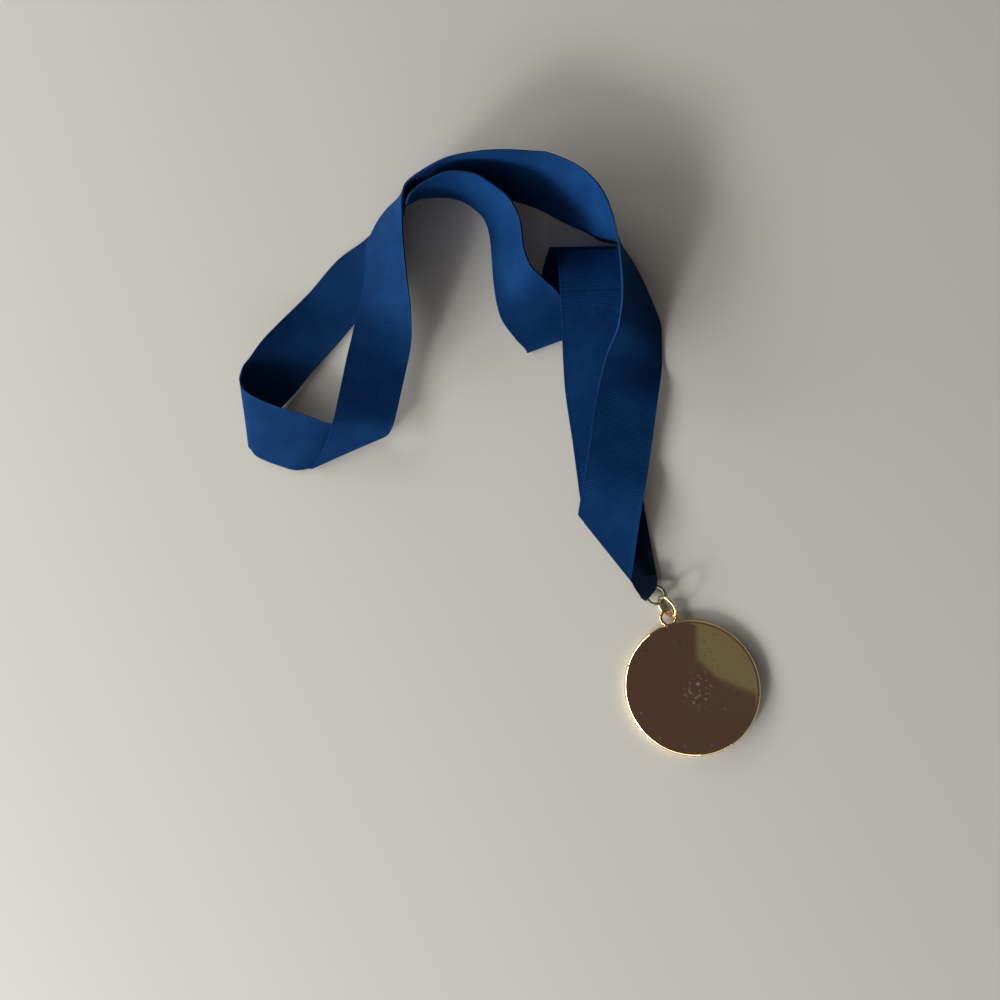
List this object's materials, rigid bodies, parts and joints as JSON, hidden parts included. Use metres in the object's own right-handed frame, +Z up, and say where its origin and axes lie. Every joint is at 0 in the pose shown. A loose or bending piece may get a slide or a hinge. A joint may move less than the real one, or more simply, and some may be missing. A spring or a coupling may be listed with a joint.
{
  "type": "race medal",
  "caption": "Round gold race medal joined by wire rings to the stitched point of a blue neck ribbon that lies dropped in a loose loop.",
  "frame": {"origin": "middle of the medal's flat underside, on the floor it lies on", "axes": "+Z is up from the floor; +Y points from the medal towards its ribbon; +X is to the right with the medal nearer than the ribbon"},
  "size_m": [0.2113, 0.2399, 0.0252],
  "materials": {
    "ribbon": "woven navy polyester, slightly shiny",
    "dark_wire": "darkened wire",
    "gold_wire": "bright gold plate",
    "gold": "polished, lightly marked gold plate"
  },
  "bodies": {
    "root": {"ribbon": "ribbon", "ribbon_ring": "dark_wire", "medal_ring": "gold_wire", "medal": "gold"}
  },
  "joints": []
}
